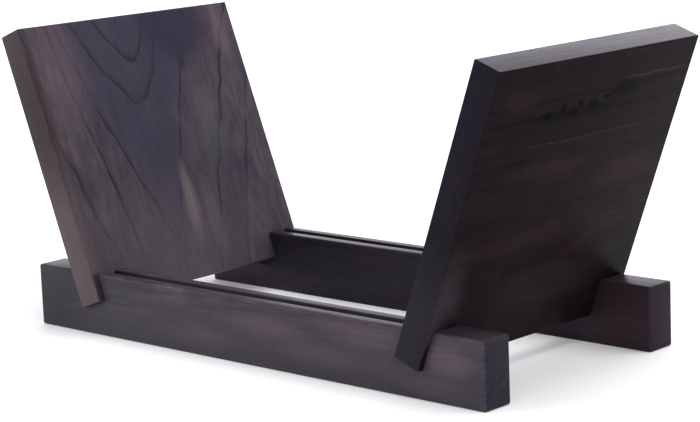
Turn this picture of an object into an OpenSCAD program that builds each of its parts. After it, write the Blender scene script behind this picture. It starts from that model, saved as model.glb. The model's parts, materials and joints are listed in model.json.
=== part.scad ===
// Book display stand: two slotted rails stand on the table, and two boards drop into the
// rails' angled slots and lean outwards. It is knocked down by lifting the boards out.
// Units are millimetres. X runs along the rails, Y from front to back, and Z up.
// The origin is on the table, at the middle of the stand.

/* [Rails] */
// Length of each rail
rail_l = 400; // [380:1:480]
// Thickness of each rail, front to back
rail_t = 24; // [20:1:30]
// Height of each rail
rail_h = 43; // [38:1:50]
// Depth of the stand over the outer faces of both rails
rails_d = 192; // [140:1:240]

/* [Groove] */
// Width of the groove along the top of each rail
groove_w = 8; // [5:0.5:10]
// Depth of that groove
groove_h = 6; // [3:0.5:8]

/* [Boards] */
// Height of each board, measured along its lean
board_h = 196; // [120:1:260]
// Thickness of each board
board_t = 20; // [15:0.5:22]
// Lean of each board away from upright, in degrees
board_lean = 20.5; // [10:0.5:25]
// How far each board stands proud of the rails, front and back
board_overhang = 4; // [1:0.5:10]

/* [Slots] */
// Distance between the boards' inner faces at the slot floors
foot_gap = 266; // [200:1:280]
// Height of each slot floor at its inner edge
slot_floor_z = 25; // [18:1:30]
// Clearance behind a board that leans on the outer wall of its slot
slot_clearance = 0.8; // [0.2:0.1:1.2]

/* [Edges] */
// Chamfer that eases every outer edge
edge_chamfer = 0.8; // [0.3:0.1:1.5]

/* [Hidden] */

board_d = rails_d + 2 * board_overhang;
rail_offset = (rails_d - rail_t) / 2;
// Height that a slot rises from its floor's inner edge to the top of the rail
slot_rise = rail_h - slot_floor_z;
// The groove ends halfway across each slot, so that it runs out into both of them
groove_l = foot_gap + 2 * slot_rise * tan(board_lean) + board_t;
// Hair's breadth between a board and the slot wall that it leans on
wall_gap = 0.1;
// Cutters run this far past the faces that they break through
overcut = 1;

rail_colour = "#453d42";
board_colour = "#3a3339";

// Rectangle centred on the origin, with its corners cut back by the chamfer
module eased_rectangle(w, h) {
    a = w / 2;
    b = h / 2;
    c = edge_chamfer;
    polygon([
        [a, c - b], [a, b - c], [a - c, b], [c - a, b],
        [-a, b - c], [-a, c - b], [c - a, -b], [a - c, -b]
    ]);
}

// Block standing on Z = 0, centred in X and Y, with all its edges chamfered
module eased_block(l, d, h) {
    intersection() {
        linear_extrude(h)
            eased_rectangle(l, d);
        translate([0, d / 2, h / 2]) rotate([90, 0, 0]) linear_extrude(d)
            eased_rectangle(l, h);
        translate([-l / 2, 0, h / 2]) rotate([90, 0, 90]) linear_extrude(l)
            eased_rectangle(d, h);
    }
}

// Moves its children to the inner foot of the right board, leaning with it
module at_right_foot() {
    translate([foot_gap / 2, 0, slot_floor_z]) rotate([0, board_lean, 0])
        children();
}

// One board, leaning to the right
module right_leaning_board() {
    at_right_foot() translate([board_t / 2, 0, 0])
        eased_block(board_t, board_d, board_h);
}

// Cutter for the right slot of both rails: open at the top, with a floor square to the board
module right_slot_cutter() {
    cut_d = rails_d + 2 * overcut;
    at_right_foot() translate([-slot_clearance, -cut_d / 2, 0])
        cube([board_t + slot_clearance + wall_gap, cut_d, board_h]);
}

// Cutter for the groove along the top of a rail, from slot to slot
module groove_cutter() {
    translate([-groove_l / 2, -groove_w / 2, rail_h - groove_h])
        cube([groove_l, groove_w, groove_h + overcut]);
}

// One rail: side is -1 for the front one and 1 for the back one
module rail(side) {
    difference() {
        translate([0, side * rail_offset, 0]) eased_block(rail_l, rail_t, rail_h);
        translate([0, side * rail_offset, 0]) groove_cutter();
        right_slot_cutter();
        mirror([1, 0, 0]) right_slot_cutter();
    }
}

module front_rail() {
    color(rail_colour) rail(-1);
}

module back_rail() {
    color(rail_colour) rail(1);
}

module left_board() {
    color(board_colour) mirror([1, 0, 0]) right_leaning_board();
}

module right_board() {
    color(board_colour) right_leaning_board();
}

front_rail();
back_rail();
left_board();
right_board();
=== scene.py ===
"""A knock-down book display stand in dark stained hardwood, on a pale studio floor.

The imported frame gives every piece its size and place. Each rail and each board is cut from a
block as in the workshop: sawn to size, eased along its arrises, then slotted and grooved. The
wood is a solid pattern in each piece's own place, drawn along its own grain.
"""

import json
import logging
import math
from dataclasses import dataclass, field
from enum import Enum
from typing import Any

import bpy
from mathutils import Matrix, Vector


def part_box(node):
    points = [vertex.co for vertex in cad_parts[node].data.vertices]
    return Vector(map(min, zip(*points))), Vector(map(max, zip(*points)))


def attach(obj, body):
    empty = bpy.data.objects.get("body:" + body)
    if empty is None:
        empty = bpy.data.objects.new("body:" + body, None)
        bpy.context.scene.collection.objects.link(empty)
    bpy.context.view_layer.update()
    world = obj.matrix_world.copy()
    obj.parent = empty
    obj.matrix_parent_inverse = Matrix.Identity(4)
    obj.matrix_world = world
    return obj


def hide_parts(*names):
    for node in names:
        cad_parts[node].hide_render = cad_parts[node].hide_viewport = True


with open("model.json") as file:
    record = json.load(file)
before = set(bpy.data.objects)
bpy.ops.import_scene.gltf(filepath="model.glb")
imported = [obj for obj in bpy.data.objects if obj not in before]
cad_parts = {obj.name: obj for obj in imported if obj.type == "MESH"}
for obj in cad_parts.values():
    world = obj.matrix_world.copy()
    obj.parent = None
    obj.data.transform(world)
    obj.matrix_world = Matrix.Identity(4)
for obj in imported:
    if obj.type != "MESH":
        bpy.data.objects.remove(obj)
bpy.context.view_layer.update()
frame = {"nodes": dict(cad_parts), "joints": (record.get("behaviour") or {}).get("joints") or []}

LOG = logging.getLogger("book_stand")
MM = 0.001

# Gaps that the CAD leaves in a slot: behind the board, and against the wall that it leans on
SLOT_BACK_GAP = 0.8 * MM
SLOT_WALL_GAP = 0.1 * MM
# Radius that sandpaper leaves along a board's arris and a rail's, and that a saw cut's edge keeps
BOARD_RADIUS = 1.0 * MM
RAIL_RADIUS = 1.6 * MM
CUT_RADIUS = 0.4 * MM
ARRIS_FACETS = 4
# How far a cutter runs past the face that it breaks through
OVERCUT = 2.0 * MM
# Edges that turn by more than this are arrises
ARRIS_ANGLE = math.radians(30)
# Facets narrower than this are an arris's rounding, and wider ones are a flat
WIDEST_FACET = 1.0 * MM
# Name of the attribute that is 1 in the middle of an arris and 0 on the flats
ARRIS_MIDDLE = "rubbed"
# Millimetres between growth rings, and from the tree's heart to a piece's middle
RING_PITCH = 5.0
HEART_TO_MIDDLE = (34.0, 30.0)


class Side(Enum):
    """Which end of the rails a board stands at, as its direction along X."""

    LEFT = -1
    RIGHT = 1


class Grain(Enum):
    """The way that the fibres run in a piece."""

    ALONG_THE_RAIL = "along the rail"
    UP_THE_BOARD = "up the board"
    FRONT_TO_BACK = "front to back"


def linear(hex_colour: str) -> tuple[float, float, float, float]:
    """Turn an sRGB hex colour to the linear values that a shader takes.

    Args:
        hex_colour: six hex digits with a leading hash.

    Returns:
        Red, green, blue and an alpha of 1.
    """
    parts = [int(hex_colour[i : i + 2], 16) / 255 for i in (1, 3, 5)]
    flat = [c / 12.92 if c <= 0.04045 else ((c + 0.055) / 1.055) ** 2.4 for c in parts]
    return (*flat, 1.0)


def add_node(
    tree: bpy.types.NodeTree, kind: str, inputs: dict[str | int, Any] | None = None, **settings: Any
) -> bpy.types.Node:
    """Add one node with its settings, input values and links.

    Args:
        tree: the node tree to add to.
        kind: the node's type, without its ShaderNode prefix.
        inputs: value or source socket for each input, by name or number.
        settings: the node's own properties.

    Returns:
        The new node.
    """
    node = tree.nodes.new("ShaderNode" + kind)
    for name, value in settings.items():
        setattr(node, name, value)
    for key, value in (inputs or {}).items():
        if isinstance(value, bpy.types.NodeSocket):
            tree.links.new(value, node.inputs[key])
        else:
            node.inputs[key].default_value = value
    return node


# --------------------------------------------------------------------------- wood

Value = bpy.types.NodeSocket | float
Colour = bpy.types.NodeSocket | tuple[float, float, float, float]


@dataclass(frozen=True)
class Arch:
    """A late-wood line that crosses the piece as an arch, open towards the end of the grain.

    Lengths are in millimetres from the middle of the piece.

    Attributes:
        across: place of the arch's foot across the grain.
        along: place of the arch's foot along the grain.
        spread: how fast each leg leaves the middle, per millimetre along the grain.
        tilt: how fast the arch's middle moves sideways, per millimetre along the grain.
        roundness: how blunt the foot is.
        width: width of the line's sharp side.
        strength: how dark the line is, from 0 to 1.
    """

    across: float
    along: float
    spread: float
    tilt: float = 0.0
    roundness: float = 4.0
    width: float = 1.3
    strength: float = 0.9


@dataclass(frozen=True)
class Streak:
    """A long mark in the wood, in millimetres from the middle of the piece.

    Attributes:
        across: place across the grain.
        along: place along the grain.
        width: half its width across the grain.
        length: half its length along the grain.
        colour: its colour, which is a stain's on most streaks and painted shade and light on a few.
        strength: how much of the wood's own colour it hides, from 0 to 1.
        core: share of it that has its full strength, which is high for a knot.
        broad: whether it is only on the two broad faces, as the painted shade at a board's foot in
            its slot is.
    """

    across: float
    along: float
    width: float
    length: float
    colour: str
    strength: float = 0.6
    core: float = 0.2
    broad: bool = False


class WoodPattern:
    """Nodes of one piece's solid pattern, in millimetres from the middle of the piece.

    X runs across the grain, Y through the thickness, and Z along the grain.
    """

    def __init__(self, tree: bpy.types.NodeTree, basis: Matrix, centre: Vector, seed: float):
        """Place the pattern in its piece.

        Args:
            tree: the material's node tree.
            basis: rows are the directions across, through and along the grain.
            centre: the middle of the piece, in metres.
            seed: place in the noise that the piece is cut from.
        """
        self.tree = tree
        self.basis = basis
        self.seed = seed
        self.texture = add_node(tree, "TexCoord")
        self.place = add_node(
            tree,
            "Mapping",
            {
                "Vector": self.texture.outputs["Object"],
                "Scale": (1 / MM,) * 3,
                "Rotation": basis.to_euler("XYZ"),
                "Location": -(basis @ centre) / MM,
            },
        ).outputs[0]

    def maths(self, operation: str, a: Value, b: Value = 0.0, c: Value = 0.0) -> Value:
        """Work out one sum."""
        return add_node(self.tree, "Math", {0: a, 1: b, 2: c}, operation=operation).outputs[0]

    def fade(
        self, value: Value, low: float, high: float, start: float = 0.0, end: float = 1.0
    ) -> Value:
        """Turn a value to a smooth share between two limits."""
        limits = {"Value": value, "From Min": low, "From Max": high, "To Min": start, "To Max": end}
        node = add_node(self.tree, "MapRange", limits, interpolation_type="SMOOTHSTEP")
        return node.outputs[0]

    def mix(self, share: Value, under: Colour, over: Colour, blend: str = "MIX") -> Colour:
        """Lay one colour over another by a share."""
        node = add_node(
            self.tree, "Mix", {0: share, 6: under, 7: over}, data_type="RGBA", blend_type=blend
        )
        return node.outputs[2]

    def noise(
        self, cell: tuple[float, float, float], detail: float, shift: float
    ) -> bpy.types.Node:
        """Add noise whose cells have the given size in millimetres.

        Args:
            cell: size across, through and along the grain.
            detail: how many finer layers it has.
            shift: place in the noise, so that no two patterns match.

        Returns:
            The noise node.
        """
        scale = tuple(1 / size for size in cell)
        stretched = add_node(self.tree, "Mapping", {"Vector": self.place, "Scale": scale})
        inputs = {
            "Vector": stretched.outputs[0],
            "W": self.seed + shift,
            "Scale": 1.0,
            "Detail": detail,
            "Roughness": 0.55,
        }
        return add_node(self.tree, "TexNoise", inputs, noise_dimensions="4D")

    def warped(self, cell: tuple[float, float, float], sway: Vector, shift: float) -> Value:
        """Bend the piece's own place by noise.

        Args:
            cell: size of the noise's cells, in millimetres.
            sway: furthest bend across, through and along the grain, in millimetres.
            shift: place in the noise.

        Returns:
            The bent place.
        """
        colour = self.noise(cell, 2.5, shift).outputs["Color"]
        middle = Vector((0.5, 0.5, 0.5))
        off = add_node(self.tree, "VectorMath", {0: colour, 1: middle}, operation="SUBTRACT")
        bent = {0: off.outputs[0], 1: 4 * sway, 2: self.place}
        return add_node(self.tree, "VectorMath", bent, operation="MULTIPLY_ADD").outputs[0]

    def facing(self, direction: Vector) -> Value:
        """Find how squarely the surface faces a direction: 1 towards it, and -1 away."""
        both = {0: self.texture.outputs["Normal"], 1: direction}
        return add_node(self.tree, "VectorMath", both, operation="DOT_PRODUCT").outputs["Value"]

    def outside_arch(self, arch: Arch, across: Value, along: Value) -> Value:
        """Measure how far a point lies outside an arch, in millimetres."""
        rise = self.maths("SUBTRACT", along, arch.along)
        middle = self.maths("MULTIPLY_ADD", rise, arch.tilt, arch.across)
        off = self.maths("SUBTRACT", across, middle)
        squares = self.maths("MULTIPLY_ADD", off, off, arch.roundness**2)
        reach = self.maths("SUBTRACT", self.maths("SQRT", squares), arch.roundness)
        return self.maths("MULTIPLY_ADD", rise, -arch.spread, reach)

    def line(self, arch: Arch, outside: Value) -> Value:
        """Draw a late-wood line: sharp on its outside, and soft on its inside."""
        soft = self.maths("POWER", self.fade(outside, -4 * arch.width, 0.0), 3.0)
        sharp = self.fade(outside, 0.0, 0.5 * arch.width, arch.strength, 0.0)
        return self.maths("MULTIPLY", soft, sharp)


@dataclass(frozen=True)
class StainedWood:
    """Hardwood with a black-brown stain under a thin satin oil.

    The stain hides most of the wood: what is left is a dark violet-grey surface with blue and
    red-brown clouds, thin late-wood lines, faint fibres, and a soft pale sheen where the light
    grazes it. End grain drinks more stain, so it is darker and duller.

    Attributes:
        name: the material's name.
        grain: the way that the fibres run.
        heart: colour inside the first arch.
        cloud: colour of the darker clouds.
        outer: colour of the rest of the wood.
        blush: the warm colour that shows through in clouds.
        shade: the colour of the dark lines and pores.
        end: the colour of the end grain.
        arches: late-wood lines.
        streaks: marks of the piece's own, and a few of painted shade and painted light.
        mottle: depth of the small dark flecks between the clouds.
        inner_face_lift: how many times lighter the broad face towards the books is; the darker tone
            of the other faces is partly painted shade.
        seed: place in the noise that the piece is cut from.
        tint: colour of the sheen, which the oil turns slightly violet.
        sheen: strength of the mirror-like share.
        top_sheen: the same on faces that look up, which hands and books polish.
        roughness: how dull the surface is.
    """

    name: str
    grain: Grain
    heart: str
    cloud: str
    outer: str
    blush: str
    shade: str
    end: str
    arches: tuple[Arch, ...] = ()
    streaks: tuple[Streak, ...] = ()
    mottle: float = 0.4
    inner_face_lift: float = 1.0
    seed: float = 0.0
    tint: str = "#dad5ee"
    sheen: float = 0.1
    top_sheen: float = 0.075
    roughness: float = 0.4

    def material(self, basis: Matrix, centre: Vector) -> bpy.types.Material:
        """Build the material for one piece.

        Args:
            basis: rows are the directions across, through and along the grain.
            centre: the middle of the piece, in metres.

        Returns:
            The material, with its pattern in the piece's own place.
        """
        material = bpy.data.materials.new(self.name)
        material.use_nodes = True
        tree = material.node_tree
        tree.nodes.clear()
        wood = WoodPattern(tree, basis, centre, self.seed)
        # The two broad faces look along the thickness; a line is fainter on the narrow ones
        through = wood.facing(basis[1])
        square = wood.maths("ABSOLUTE", through)
        broad = wood.fade(square, 0.5, 0.9)
        wide = wood.fade(square, 0.5, 0.9, 0.25, 1.0)
        end = wood.fade(wood.maths("ABSOLUTE", wood.facing(basis[2])), 0.7, 0.95)
        fibre = wood.noise((1.4, 1.4, 42), 4.0, 31.0).outputs[0]
        # Pores: open vessels, drawn about three times their real width so that they show
        pore = wood.fade(wood.noise((0.9, 0.9, 8), 1.0, 44.0).outputs[0], 0.62, 0.74)

        body = self.clouds(wood)
        body = self.figure(wood, body, wide)
        body = self.marks(wood, body, broad)
        body = wood.mix(wood.fade(fibre, 0.35, 0.7, 0.0, 0.2), body, linear(self.shade))
        body = wood.mix(wood.maths("MULTIPLY", pore, 0.25), body, linear(self.shade))
        body = self.end_grain(wood, body, end)
        # The face towards the books is lightened; the darker tone left on the outer face is partly
        # painted shade
        if self.inner_face_lift != 1.0:
            inner = wood.fade(through, -0.9, -0.5, 1.0, 0.0)
            body = wood.mix(inner, body, (*(self.inner_face_lift,) * 3, 1.0), "MULTIPLY")
        body = self.rub_and_highlight(wood, body)

        shader = add_node(
            tree,
            "BsdfPrincipled",
            {
                "Base Color": body,
                "Roughness": self.gloss(wood, fibre, end),
                "Normal": self.relief(wood, fibre, pore),
                "IOR": 1.5,
                "Specular IOR Level": self.polish(wood),
                "Specular Tint": linear(self.tint),
            },
        )
        add_node(tree, "OutputMaterial", {"Surface": shader.outputs[0]})
        return material

    def polish(self, wood: WoodPattern) -> Value:
        """Give the faces that look up their own sheen."""
        normal = add_node(wood.tree, "SeparateXYZ", {0: wood.texture.outputs["Normal"]})
        return wood.fade(normal.outputs["Z"], 0.55, 0.85, self.sheen, self.top_sheen)

    def clouds(self, wood: WoodPattern) -> Colour:
        """Mix the wood's colours and its blush in long soft clouds."""
        bands = wood.noise((9, 9, 110), 3.0, 3.0).outputs[0]
        broad = wood.noise((24, 24, 52), 3.5, 7.7).outputs[0]
        share = wood.maths("MULTIPLY_ADD", bands, 0.25, wood.maths("MULTIPLY", broad, 0.75))
        body = wood.mix(wood.fade(share, 0.36, 0.64), linear(self.cloud), linear(self.outer))
        warm = wood.noise((16, 16, 30), 5.0, 12.3).outputs[0]
        body = wood.mix(wood.fade(warm, 0.48, 0.75, 0.0, 0.8), body, linear(self.blush))
        flecks = wood.noise((5, 5, 17), 4.0, 17.0).outputs[0]
        return wood.mix(wood.fade(flecks, 0.4, 0.68, 0.0, self.mottle), body, linear(self.shade))

    def figure(self, wood: WoodPattern, body: Colour, wide: Value) -> Colour:
        """Draw the late-wood lines, with the heart's colour inside the first arch."""
        bent = wood.warped((26, 26, 60), Vector((3.5, 0.0, 6.0)), 0.0)
        place = add_node(wood.tree, "SeparateXYZ", {0: bent})
        across, along = place.outputs["X"], place.outputs["Z"]
        lines: Value = 0.0
        for number, arch in enumerate(self.arches):
            outside = wood.outside_arch(arch, across, along)
            if number == 0:
                inside = wood.fade(outside, -14.0, 16.0, 0.75, 0.0)
                body = wood.mix(inside, body, linear(self.heart))
            lines = wood.maths("MAXIMUM", lines, wood.line(arch, outside))
        broken = wood.fade(wood.noise((16, 16, 34), 2.0, 3.1).outputs[0], 0.34, 0.5, 0.5, 1.0)
        share = wood.maths("MULTIPLY", wood.maths("MULTIPLY", lines, broken), wide)
        return wood.mix(share, body, linear(self.shade))

    def marks(self, wood: WoodPattern, body: Colour, broad: Value) -> Colour:
        """Lay the piece's streaks and patches over the wood, with the marks of painted shade and
        painted light among them.
        """
        torn = wood.warped((9, 9, 30), Vector((1.6, 0.0, 5.0)), 20.0)
        for streak in self.streaks:
            size = add_node(
                wood.tree,
                "Mapping",
                {
                    "Vector": torn,
                    "Location": (-streak.across / streak.width, 0, -streak.along / streak.length),
                    "Scale": (1 / streak.width, 0.0, 1 / streak.length),
                },
            )
            reach = add_node(wood.tree, "VectorMath", {0: size.outputs[0]}, operation="LENGTH")
            share = wood.fade(reach.outputs["Value"], streak.core, 1.15, streak.strength, 0.0)
            if streak.broad:
                share = wood.maths("MULTIPLY", share, broad)
            body = wood.mix(share, body, linear(streak.colour))
        return body

    def end_grain(self, wood: WoodPattern, body: Colour, end: Value) -> Colour:
        """Darken the end grain, and cross it with the growth rings' arcs."""
        bent = wood.warped((16, 16, 400), Vector((2.5, 2.5, 0.0)), 25.0)
        ring = {"Vector": bent, "Location": (*HEART_TO_MIDDLE, 0.0), "Scale": (1.0, 1.0, 0.0)}
        off = add_node(wood.tree, "Mapping", ring).outputs[0]
        reach = add_node(wood.tree, "VectorMath", {0: off}, operation="LENGTH").outputs["Value"]
        # Each ring is darker towards its outside, and lost in places
        turn = wood.maths("FRACT", wood.maths("MULTIPLY", reach, 1 / RING_PITCH))
        lost = wood.fade(wood.noise((8, 8, 400), 2.0, 26.0).outputs[0], 0.35, 0.65, 0.0, 0.5)
        arcs = wood.maths("MULTIPLY", wood.maths("POWER", turn, 3.0), lost)
        face = wood.mix(arcs, linear(self.end), linear(self.shade))
        # Fibres that the saw tore stand paler, in short slanting scratches
        torn = wood.fade(wood.noise((2.5, 7, 400), 3.0, 28.0).outputs[0], 0.52, 0.75, 0.0, 0.5)
        face = wood.mix(torn, face, linear(self.outer))
        return wood.mix(wood.maths("MULTIPLY", end, 0.7), body, face)

    def rub_and_highlight(self, wood: WoodPattern, body: Colour) -> Colour:
        """Lighten patches along the arrises: stain thinned by handling, and partly a painted
        highlight on their rounding.
        """
        rubbed = add_node(wood.tree, "Attribute", attribute_name=ARRIS_MIDDLE).outputs["Fac"]
        patchy = wood.fade(wood.noise((3, 3, 14), 2.0, 52.0).outputs[0], 0.4, 0.65, 0.0, 0.4)
        # The blush laid on the arrises is partly worn stain and partly painted highlight
        return wood.mix(wood.maths("MULTIPLY", rubbed, patchy), body, linear(self.blush))

    def gloss(self, wood: WoodPattern, fibre: Value, end: Value) -> Value:
        """Vary the roughness with the fibres, and dull the end grain."""
        base = wood.fade(fibre, 0.3, 0.7, self.roughness - 0.04, self.roughness + 0.05)
        return wood.maths("MULTIPLY_ADD", end, 0.15, base)

    def relief(self, wood: WoodPattern, fibre: Value, pore: Value) -> Value:
        """Sink the pores, raise the fibres, and leave the flats slightly wavy from sanding."""
        wave = wood.noise((38, 38, 60), 0.0, 61.0).outputs[0]
        raised = wood.maths("MULTIPLY_ADD", fibre, 0.3, wood.maths("MULTIPLY", pore, -0.5))
        height = wood.maths("MULTIPLY_ADD", wave, 2.0, raised)
        bump = {"Height": height, "Strength": 0.3, "Distance": 0.25 * MM}
        return add_node(wood.tree, "Bump", bump).outputs[0]


@dataclass(frozen=True)
class RecessShade:
    """Painted shade in a groove or a slot: dark, dull, and a little streaky."""

    name: str = "stain pooled in the saw cuts"
    # The paler and the deeper colour of the painted shade in the cuts
    thin: str = "#353137"
    deep_shade: str = "#252127"

    def material(self, basis: Matrix, centre: Vector) -> bpy.types.Material:
        """Build the material, with its streaks along the grain of its piece."""
        material = bpy.data.materials.new(self.name)
        material.use_nodes = True
        tree = material.node_tree
        tree.nodes.clear()
        wood = WoodPattern(tree, basis, centre, 0.0)
        streaks = wood.noise((2, 2, 40), 3.0, 70.0).outputs[0]
        body = wood.mix(wood.fade(streaks, 0.3, 0.7), linear(self.deep_shade), linear(self.thin))
        shader = add_node(
            tree,
            "BsdfPrincipled",
            {"Base Color": body, "Roughness": 0.7, "IOR": 1.5, "Specular IOR Level": 0.1},
        )
        add_node(tree, "OutputMaterial", {"Surface": shader.outputs[0]})
        return material


# --------------------------------------------------------------------------- workshop


def deselect_all() -> None:
    """Leave nothing selected, so that an operator acts on one piece."""
    for thing in bpy.context.selected_objects:
        thing.select_set(False)


def activate(piece: bpy.types.Object) -> None:
    """Make one piece the only selected and the active one."""
    deselect_all()
    piece.select_set(True)
    bpy.context.view_layer.objects.active = piece


def saw_block(name: str, centre: Vector, size: Vector, turn: Matrix) -> bpy.types.Object:
    """Saw a plain block.

    Args:
        name: the block's name.
        centre: its middle.
        size: its lengths along its own axes.
        turn: its own axes as columns.

    Returns:
        The block, with its place in its mesh.
    """
    deselect_all()
    bpy.ops.mesh.primitive_cube_add(size=1.0)
    block = bpy.context.active_object
    block.name = block.data.name = name
    block.matrix_world = Matrix.Translation(centre) @ turn.to_4x4() @ Matrix.Diagonal((*size, 1.0))
    bpy.ops.object.transform_apply(location=True, rotation=True, scale=True)
    return block


def cut_away(piece: bpy.types.Object, cutter: bpy.types.Object) -> None:
    """Cut one block out of a piece, and throw the cutter away."""
    activate(piece)
    saw = piece.modifiers.new("saw", "BOOLEAN")
    saw.operation = "DIFFERENCE"
    saw.solver = "EXACT"
    saw.object = cutter
    bpy.ops.object.modifier_apply(modifier=saw.name)
    bpy.data.objects.remove(cutter)


def ease_arrises(piece: bpy.types.Object, radius: float) -> None:
    """Round every sharp edge that a piece still has.

    Args:
        piece: the piece.
        radius: the radius of the rounding.
    """
    activate(piece)
    bpy.ops.object.mode_set(mode="EDIT")
    bpy.ops.mesh.select_all(action="SELECT")
    bpy.ops.mesh.remove_doubles(threshold=0.01 * MM)
    bpy.ops.mesh.dissolve_limited(angle_limit=math.radians(1))
    bpy.ops.mesh.normals_make_consistent(inside=False)
    bpy.ops.object.mode_set(mode="OBJECT")
    sanding = piece.modifiers.new("sanding", "BEVEL")
    sanding.width = radius
    sanding.segments = ARRIS_FACETS
    sanding.limit_method = "ANGLE"
    sanding.angle_limit = ARRIS_ANGLE
    bpy.ops.object.modifier_apply(modifier=sanding.name)


def finish_surface(piece: bpy.types.Object) -> None:
    """Mark the points in the middle of every arris, and shade the rounding smooth."""
    mesh = piece.data
    flats: set[int] = set()
    for face in mesh.polygons:
        corners = [mesh.vertices[v].co for v in face.vertices]
        longest = max((a - b).length for a, b in zip(corners, corners[1:] + corners[:1]))
        if face.area > longest * WIDEST_FACET:
            flats.update(face.vertices)
    layer = mesh.attributes.new(ARRIS_MIDDLE, "FLOAT", "POINT")
    layer.data.foreach_set("value", [float(v not in flats) for v in range(len(mesh.vertices))])
    activate(piece)
    bpy.ops.object.shade_smooth_by_angle(angle=ARRIS_ANGLE)


def extent(node: str, direction: Vector) -> tuple[float, float]:
    """Find how far a CAD node reaches along a direction.

    Args:
        node: the CAD node's name.
        direction: a unit vector.

    Returns:
        The lowest and the highest reach from the origin.
    """
    reaches = [v.co.dot(direction) for v in frame["nodes"][node].data.vertices]
    return min(reaches), max(reaches)


@dataclass(frozen=True)
class Lean:
    """The way that one board leans, and where it stands, read from its CAD node.

    Attributes:
        side: the end that the board stands at.
    """

    side: Side

    @property
    def node(self) -> str:
        """The board's node and body."""
        return f"{self.side.name.lower()}_board"

    @property
    def up(self) -> Vector:
        """Up the board, which is the way that its joint lifts it."""
        joint = next(j for j in frame["joints"] if j["child"] == self.node)
        return Vector(joint["axis"]).normalized()

    @property
    def out(self) -> Vector:
        """Square to the board, away from the books."""
        return Vector((self.side.value * self.up.z, 0.0, -abs(self.up.x)))

    def block(self, name: str, below: Vector, above: Vector) -> bpy.types.Object:
        """Saw a block of the board's size in the board's place.

        Args:
            name: the block's name.
            below: what to add at the low end of the out, sideways and up directions.
            above: what to add at their high end.

        Returns:
            The block.
        """
        # Right-handed at both ends, since a mirrored block would be inside out and cut nothing
        axes = (self.out, Vector((0.0, self.side.value, 0.0)), self.up)
        ends = [extent(self.node, axis) for axis in axes]
        lows = [low - more for (low, _), more in zip(ends, below)]
        highs = [high + more for (_, high), more in zip(ends, above)]
        centre = Vector()
        for axis, low, high in zip(axes, lows, highs):
            centre += axis * (low + high) / 2
        size = Vector([high - low for low, high in zip(lows, highs)])
        return saw_block(name, centre, size, Matrix(axes).transposed())


@dataclass
class Rail:
    """One slotted and grooved rail that stands on the table.

    Attributes:
        node: the CAD node that it stands for.
        wood: its finish.
        cut_shade: the finish inside its groove and its slots, darker as painted shade.
        slot: the record's material slot; not used.
    """

    node: str
    wood: StainedWood
    cut_shade: RecessShade = RecessShade()
    slot: str = "rail_wood"

    def build(self) -> bpy.types.Object:
        """Saw, ease, slot and groove the rail, then stain it and paint shade into its cuts.

        Returns:
            The finished rail.
        """
        low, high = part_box(self.node)
        rail = saw_block(self.node + "_wood", (low + high) / 2, high - low, Matrix.Identity(3))
        ease_arrises(rail, RAIL_RADIUS)
        for side in Side:
            below = Vector((SLOT_BACK_GAP, OVERCUT, 0.0))
            above = Vector((SLOT_WALL_GAP, OVERCUT, 0.0))
            cut_away(rail, Lean(side).block("slot_cutter", below, above))
        half_width, floor = self.groove()
        left, right = (self.slot_middle(side, high.z) for side in Side)
        top = high.z + OVERCUT
        cutter = saw_block(
            "groove_cutter",
            Vector(((left + right) / 2, (low.y + high.y) / 2, (floor + top) / 2)),
            Vector((right - left, 2 * half_width, top - floor)),
            Matrix.Identity(3),
        )
        cut_away(rail, cutter)
        ease_arrises(rail, CUT_RADIUS)
        finish_surface(rail)
        self.dress(rail, half_width, floor)
        return rail

    def groove(self) -> tuple[float, float]:
        """Read the groove's half width and its floor's height from the CAD node.

        Returns:
            Half width and height, in metres.
        """
        low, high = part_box(self.node)
        middle = (low.y + high.y) / 2
        corners = [v.co for v in frame["nodes"][self.node].data.vertices]
        half_width = min(abs(c.y - middle) for c in corners if abs(c.y - middle) > MM)
        floor = min(c.z for c in corners if abs(abs(c.y - middle) - half_width) < 0.01 * MM)
        return half_width, floor

    def slot_middle(self, side: Side, height: float) -> float:
        """Find the middle of a slot at some height.

        Args:
            side: which slot.
            height: the height above the table.

        Returns:
            Its place along X.
        """
        lean = Lean(side)
        inner, outer = extent(lean.node, lean.out)
        # A point of the board's middle plane: x * out.x + height * out.z is its reach
        return ((inner + outer) / 2 - height * lean.out.z) / lean.out.x

    def in_a_slot(self, point: Vector) -> bool:
        """Tell whether a point lies in a slot, or on the rounding of its edge."""
        edge = 1.1 * CUT_RADIUS
        for lean in map(Lean, Side):
            inner, outer = extent(lean.node, lean.out)
            foot, _ = extent(lean.node, lean.up)
            near = inner - SLOT_BACK_GAP - edge < point.dot(lean.out) < outer + SLOT_WALL_GAP + edge
            if near and point.dot(lean.up) > foot - edge:
                return True
        return False

    def dress(self, rail: bpy.types.Object, half_width: float, floor: float) -> None:
        """Stain the rail, paint shade into its groove and its slots, and fix the rail to its body.

        Args:
            rail: the cut rail.
            half_width: half the groove's width.
            floor: height of the groove's floor.
        """
        low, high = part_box(self.node)
        centre = (low + high) / 2
        # Across the grain is up, through the thickness is to the front, along it is to the right
        basis = Matrix(((0.0, 0.0, 1.0), (0.0, -1.0, 0.0), (1.0, 0.0, 0.0)))
        rail.data.materials.append(self.wood.material(basis, centre))
        rail.data.materials.append(self.cut_shade.material(basis, centre))
        # Faces inside the groove and the slots take the darker second material: painted shade
        for face in rail.data.polygons:
            inside = abs(face.center.y - centre.y) < half_width + 0.01 * MM
            deep = floor - 0.01 * MM < face.center.z < high.z - CUT_RADIUS
            face.material_index = int(inside and deep or self.in_a_slot(face.center))
        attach(rail, "base")
        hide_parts(self.node)


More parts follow.
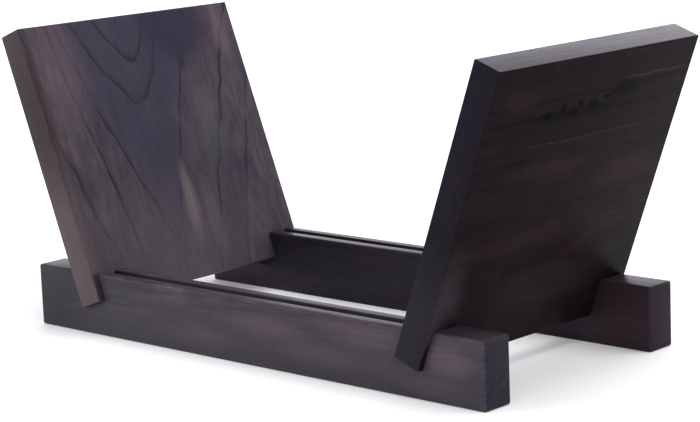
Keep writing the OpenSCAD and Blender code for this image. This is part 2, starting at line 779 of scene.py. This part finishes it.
@dataclass
class Board:
    """One flat board that leans outwards in the rails' slots.

    Attributes:
        lean: where it stands and how it leans.
        wood: its finish.
        slot: the record's material slot; not used.
    """

    lean: Lean
    wood: StainedWood
    slot: str = "board_wood"

    def build(self) -> bpy.types.Object:
        """Saw, ease and stain the board.

        Returns:
            The finished board.
        """
        board = self.lean.block(self.lean.node + "_wood", Vector(), Vector())
        centre = sum((v.co for v in board.data.vertices), Vector()) / len(board.data.vertices)
        ease_arrises(board, BOARD_RADIUS)
        finish_surface(board)
        back = Vector((0.0, 1.0, 0.0))
        across, along = back, self.lean.up
        if self.wood.grain is Grain.FRONT_TO_BACK:
            across, along = along, across
        basis = Matrix((across, along.cross(across), along))
        board.data.materials.append(self.wood.material(basis, centre))
        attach(board, self.lean.node)
        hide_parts(self.lean.node)
        return board


# --------------------------------------------------------------------------- finishes

LEFT_BOARD_WOOD = StainedWood(
    name="left board, flat-sawn stained hardwood",
    grain=Grain.UP_THE_BOARD,
    heart="#353342",
    cloud="#3b363f",
    outer="#484148",
    blush="#584b51",
    shade="#1f1c26",
    end="#37333c",
    arches=(
        Arch(-14.0, -68.0, 0.36, 0.03, strength=0.8),
        Arch(-10.0, 63.0, 0.45, roundness=10.0, strength=0.7),
        Arch(-15.0, 29.0, 0.43, roundness=16.0, width=1.6, strength=0.65),
        Arch(-25.8, -193.0, 0.285, 0.115, width=1.4, strength=1.0),
        Arch(-20.0, -260.0, 0.32, 0.06, strength=0.7),
    ),
    streaks=(
        Streak(-30.0, -86.0, 120.0, 70.0, "#524a50", 0.7),
        Streak(40.0, 86.0, 38.0, 34.0, "#2b2938", 0.85, core=0.5),
        Streak(-74.0, 66.0, 26.0, 60.0, "#605359", 0.5),
        Streak(86.0, 76.0, 11.0, 34.0, "#5f5156", 0.6),
        Streak(46.0, 10.0, 20.0, 46.0, "#48474a", 0.6),
        Streak(8.0, -46.0, 7.0, 36.0, "#6b5f5f", 0.7),
        Streak(26.0, -60.0, 9.0, 40.0, "#5a4f54", 0.5),
        Streak(-100.0, -50.0, 12.0, 90.0, "#554a4b", 0.75),
        Streak(-101.0, 46.0, 9.0, 76.0, "#302825", 0.85, core=0.3),
        # Dark marks at the foot, on the broad faces where they stand in the slots: painted shade
        Streak(-96.0, -91.0, 14.0, 13.0, "#2c272d", 0.8, core=0.8, broad=True),
        Streak(88.0, -92.0, 9.0, 10.0, "#1b181e", 0.8, core=0.6, broad=True),
    ),
    seed=2.0,
    sheen=0.08,
    top_sheen=0.25,
)

RIGHT_BOARD_WOOD = StainedWood(
    name="right board, stained hardwood with a mineral streak",
    grain=Grain.FRONT_TO_BACK,
    heart="#1a1518",
    cloud="#191417",
    outer="#1f1618",
    blush="#2c1c1d",
    shade="#0c0b10",
    end="#1d1d26",
    arches=(
        Arch(58.0, -900.0, 0.004, 0.01, width=1.0, strength=0.7),
        Arch(40.0, -700.0, 0.006, -0.02, width=0.9, strength=0.6),
        Arch(10.0, -800.0, 0.03, 0.01, width=0.9, strength=0.5),
        Arch(-30.0, -700.0, 0.045, -0.01, width=0.9, strength=0.5),
    ),
    streaks=(
        Streak(61.0, -15.0, 5.0, 80.0, "#0a090b", 0.75),
        Streak(63.0, -42.0, 2.0, 5.0, "#020202", 0.97, core=0.7),
        Streak(65.0, -27.0, 3.4, 3.4, "#020202", 0.97, core=0.7),
        Streak(61.5, -17.0, 2.0, 4.5, "#020202", 0.97, core=0.7),
        Streak(66.0, -10.0, 2.2, 2.6, "#020202", 0.95, core=0.7),
        Streak(64.0, 3.0, 3.4, 4.6, "#020202", 0.97, core=0.7),
        Streak(68.5, 17.0, 2.2, 6.0, "#030303", 0.95, core=0.6),
        Streak(71.0, 34.0, 7.0, 15.0, "#070608", 0.9, core=0.4),
        Streak(-80.0, -96.0, 62.0, 26.0, "#3f3a3f", 0.85),
        Streak(53.0, -50.0, 8.0, 54.0, "#121015", 0.6),
        Streak(78.0, 60.0, 1.2, 44.0, "#383133", 0.6),
        Streak(43.0, 10.0, 1.0, 90.0, "#322b2d", 0.5),
        Streak(76.0, -70.0, 9.0, 24.0, "#302222", 0.45),
        Streak(25.0, -20.0, 9.0, 50.0, "#2e2122", 0.45),
        Streak(12.0, 64.0, 14.0, 44.0, "#332423", 0.5),
        Streak(-22.0, -30.0, 10.0, 50.0, "#2c2022", 0.4),
        # Paler patch low on the board: painted light against the shade near the rails
        Streak(-62.0, 10.0, 22.0, 70.0, "#2f272a", 0.5),
        # Dark mark at the foot by the front rail's slot: painted shade
        Streak(-89.0, -96.0, 12.0, 8.0, "#0b0a0c", 0.85, core=0.6, broad=True),
    ),
    # The inner face is 1.8 times lighter; the dark tone of the outer face is partly painted shade
    inner_face_lift=1.8,
    seed=5.0,
    tint="#c8c2e8",
    sheen=0.015,
    top_sheen=0.26,
)

FRONT_RAIL_WOOD = StainedWood(
    name="front rail, stained hardwood",
    grain=Grain.ALONG_THE_RAIL,
    heart="#39363e",
    cloud="#39363e",
    outer="#463f44",
    blush="#57484d",
    shade="#1c1a21",
    end="#151521",
    arches=(
        Arch(-30.0, -500.0, 0.05, 0.03, width=0.9, strength=0.35),
        Arch(4.0, -700.0, 0.004, 0.015, width=0.9, strength=0.3),
    ),
    streaks=(
        Streak(0.0, -192.0, 40.0, 48.0, "#25262d", 0.85),
        Streak(26.0, -188.0, 7.0, 26.0, "#1c1b22", 0.7),
        Streak(17.0, -108.0, 6.0, 44.0, "#2b2930", 0.75),
        Streak(27.0, 180.0, 8.0, 40.0, "#19181f", 0.85),
        Streak(7.0, 20.0, 9.0, 50.0, "#5a4b4f", 0.45),
        Streak(12.0, 108.0, 10.0, 44.0, "#5b4e53", 0.45),
        Streak(6.0, 170.0, 13.0, 30.0, "#5a4b50", 0.5),
        Streak(-17.0, -40.0, 6.0, 150.0, "#3a3a43", 0.35),
        Streak(-6.0, 66.0, 9.0, 44.0, "#524649", 0.35),
        Streak(-12.0, 156.0, 7.0, 34.0, "#524548", 0.35),
        Streak(-9.0, -40.0, 8.0, 44.0, "#51474b", 0.35),
    ),
    seed=8.0,
    top_sheen=0.05,
)

BACK_RAIL_WOOD = StainedWood(
    name="back rail, stained hardwood",
    grain=Grain.ALONG_THE_RAIL,
    heart="#25222a",
    cloud="#25222a",
    outer="#2d262b",
    blush="#3c2c2f",
    shade="#100e13",
    end="#1d171b",
    arches=(Arch(-6.0, -700.0, 0.02, 0.01, width=0.9, strength=0.35),),
    streaks=(Streak(0.0, 180.0, 40.0, 50.0, "#3a2c31", 0.7),),
    seed=11.0,
)


# --------------------------------------------------------------------------- studio


@dataclass(frozen=True)
class Softlight:
    """A far, broad studio light, even over the whole floor.

    Attributes:
        name: its name.
        towards: direction from the stand to the light.
        strength: its strength in watts per square metre.
        breadth: the angle that it fills, in degrees.
        colour: its tint.
    """

    name: str
    towards: tuple[float, float, float]
    strength: float
    breadth: float
    colour: str

    def build(self) -> None:
        """Hang the light."""
        data = bpy.data.lights.new(self.name, "SUN")
        data.energy = self.strength
        data.angle = math.radians(self.breadth)
        data.color = linear(self.colour)[:3]
        lamp = bpy.data.objects.new(self.name, data)
        lamp.rotation_euler = Vector(self.towards).to_track_quat("Z", "Y").to_euler()
        bpy.context.scene.collection.objects.link(lamp)


@dataclass
class Studio:
    """The pale floor, the soft lights and the camera."""

    floor_size: float = 40.0
    floor_colour: str = "#f5f5f6"
    sky_colour: str = "#f4f4f8"
    sky_strength: float = 0.64
    lights: tuple[Softlight, ...] = (
        Softlight("overhead", (0.35, 0.1, 0.9), 2.5, 70.0, "#ffffff"),
        Softlight("front_left", (-0.75, -0.66, 0.14), 2.3, 50.0, "#fff6f2"),
        Softlight("back_left", (-0.48, 0.8, 0.38), 1.9, 66.0, "#f4f0fb"),
    )
    # The camera stands in front and to the right, a little above the boards' tops
    camera_position: Vector = field(default_factory=lambda: Vector((0.981, -1.052, 0.356)))
    camera_azimuth: float = math.radians(42.71)
    camera_tilt: float = math.radians(10.70)
    camera_roll: float = math.radians(-2.24)
    camera_lens: float = 112.6

    def build(self) -> None:
        """Lay the floor, hang the lights and set up the camera."""
        self.lay_floor()
        self.light()
        self.set_camera()

    def lay_floor(self) -> None:
        """Lay a plain pale floor under the stand."""
        deselect_all()
        bpy.ops.mesh.primitive_plane_add(size=self.floor_size)
        floor = bpy.context.active_object
        floor.name = "studio_floor"
        paper = bpy.data.materials.new("pale matt paper")
        paper.use_nodes = True
        shader = paper.node_tree.nodes["Principled BSDF"]
        shader.inputs["Base Color"].default_value = linear(self.floor_colour)
        shader.inputs["Roughness"].default_value = 0.9
        shader.inputs["Specular IOR Level"].default_value = 0.1
        floor.data.materials.append(paper)

    def light(self) -> None:
        """Light the stand from a pale sky and the soft lights."""
        world = bpy.data.worlds.new("studio_sky")
        world.use_nodes = True
        sky = world.node_tree.nodes["Background"]
        sky.inputs["Color"].default_value = linear(self.sky_colour)
        sky.inputs["Strength"].default_value = self.sky_strength
        bpy.context.scene.world = world
        for light in self.lights:
            light.build()
        bpy.context.scene.view_settings.view_transform = "Standard"

    def set_camera(self) -> None:
        """Set up the camera at its place, turned by its azimuth, tilt and roll."""
        data = bpy.data.cameras.new("camera")
        data.lens = self.camera_lens
        data.dof.use_dof = False
        camera = bpy.data.objects.new("camera", data)
        bpy.context.scene.collection.objects.link(camera)
        level = Matrix.Rotation(self.camera_azimuth, 4, "Z")
        tilted = level @ Matrix.Rotation(math.pi / 2 - self.camera_tilt, 4, "X")
        rolled = tilted @ Matrix.Rotation(self.camera_roll, 4, "Z")
        camera.matrix_world = Matrix.Translation(self.camera_position) @ rolled
        bpy.context.scene.camera = camera


def main() -> None:
    """Build the stand and its studio."""
    logging.basicConfig(level=logging.INFO, format="%(name)s: %(message)s")
    pieces = [
        Rail("front_rail", FRONT_RAIL_WOOD),
        Rail("back_rail", BACK_RAIL_WOOD),
        Board(Lean(Side.LEFT), LEFT_BOARD_WOOD),
        Board(Lean(Side.RIGHT), RIGHT_BOARD_WOOD),
    ]
    for piece in pieces:
        made = piece.build()
        LOG.info("%s: %d faces", made.name, len(made.data.polygons))
    Studio().build()


if __name__ == "__main__":
    main()
